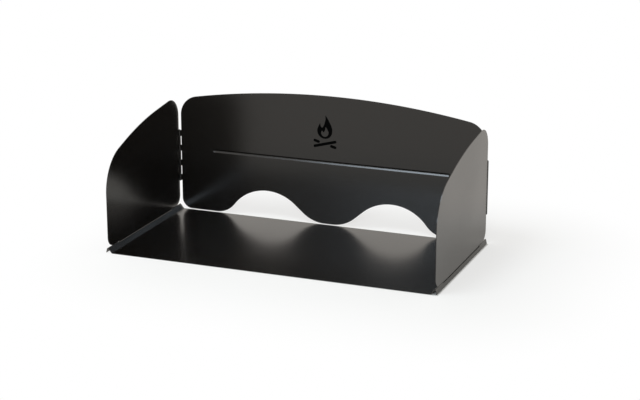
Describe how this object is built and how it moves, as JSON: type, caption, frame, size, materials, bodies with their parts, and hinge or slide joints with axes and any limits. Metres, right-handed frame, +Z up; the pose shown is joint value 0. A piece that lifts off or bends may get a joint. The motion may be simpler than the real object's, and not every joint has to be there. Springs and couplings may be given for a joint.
{
  "type": "camp kitchen windscreen",
  "caption": "Folding sheet-steel windscreen for a camping stove: a base plate with slotted side rails carries an arched back panel and hinged side wings.",
  "frame": {"origin": "on the ground, under the middle of the base plate", "axes": "+X to the right across the width, +Y to the rear where the back panel stands, +Z up"},
  "size_m": [0.6068, 0.2975, 0.243],
  "materials": {
    "black_coat": "satin black powder coat",
    "pin_coat": "satin black coat on wire"
  },
  "bodies": {
    "base_plate": {"base_plate": "black_coat"},
    "back_panel": {"back_panel": "black_coat", "left_hinge_pin": "pin_coat", "right_hinge_pin": "pin_coat"},
    "left_wing": {"left_wing": "black_coat"},
    "right_wing": {"right_wing": "black_coat"}
  },
  "joints": [
    {"name": "screen_lift", "type": "slide", "parent": "base_plate", "child": "back_panel", "axis": [0, 0, 1], "range_m": [0, 0.04]},
    {"name": "left_wing_hinge", "type": "hinge", "parent": "back_panel", "child": "left_wing", "pos_m": [-0.2994, 0.148, 0.1], "axis": [0, 0, 1], "range_deg": [-90, 90]},
    {"name": "right_wing_hinge", "type": "hinge", "parent": "back_panel", "child": "right_wing", "pos_m": [0.2994, 0.148, 0.1], "axis": [0, 0, -1], "range_deg": [-90, 90]}
  ]
}
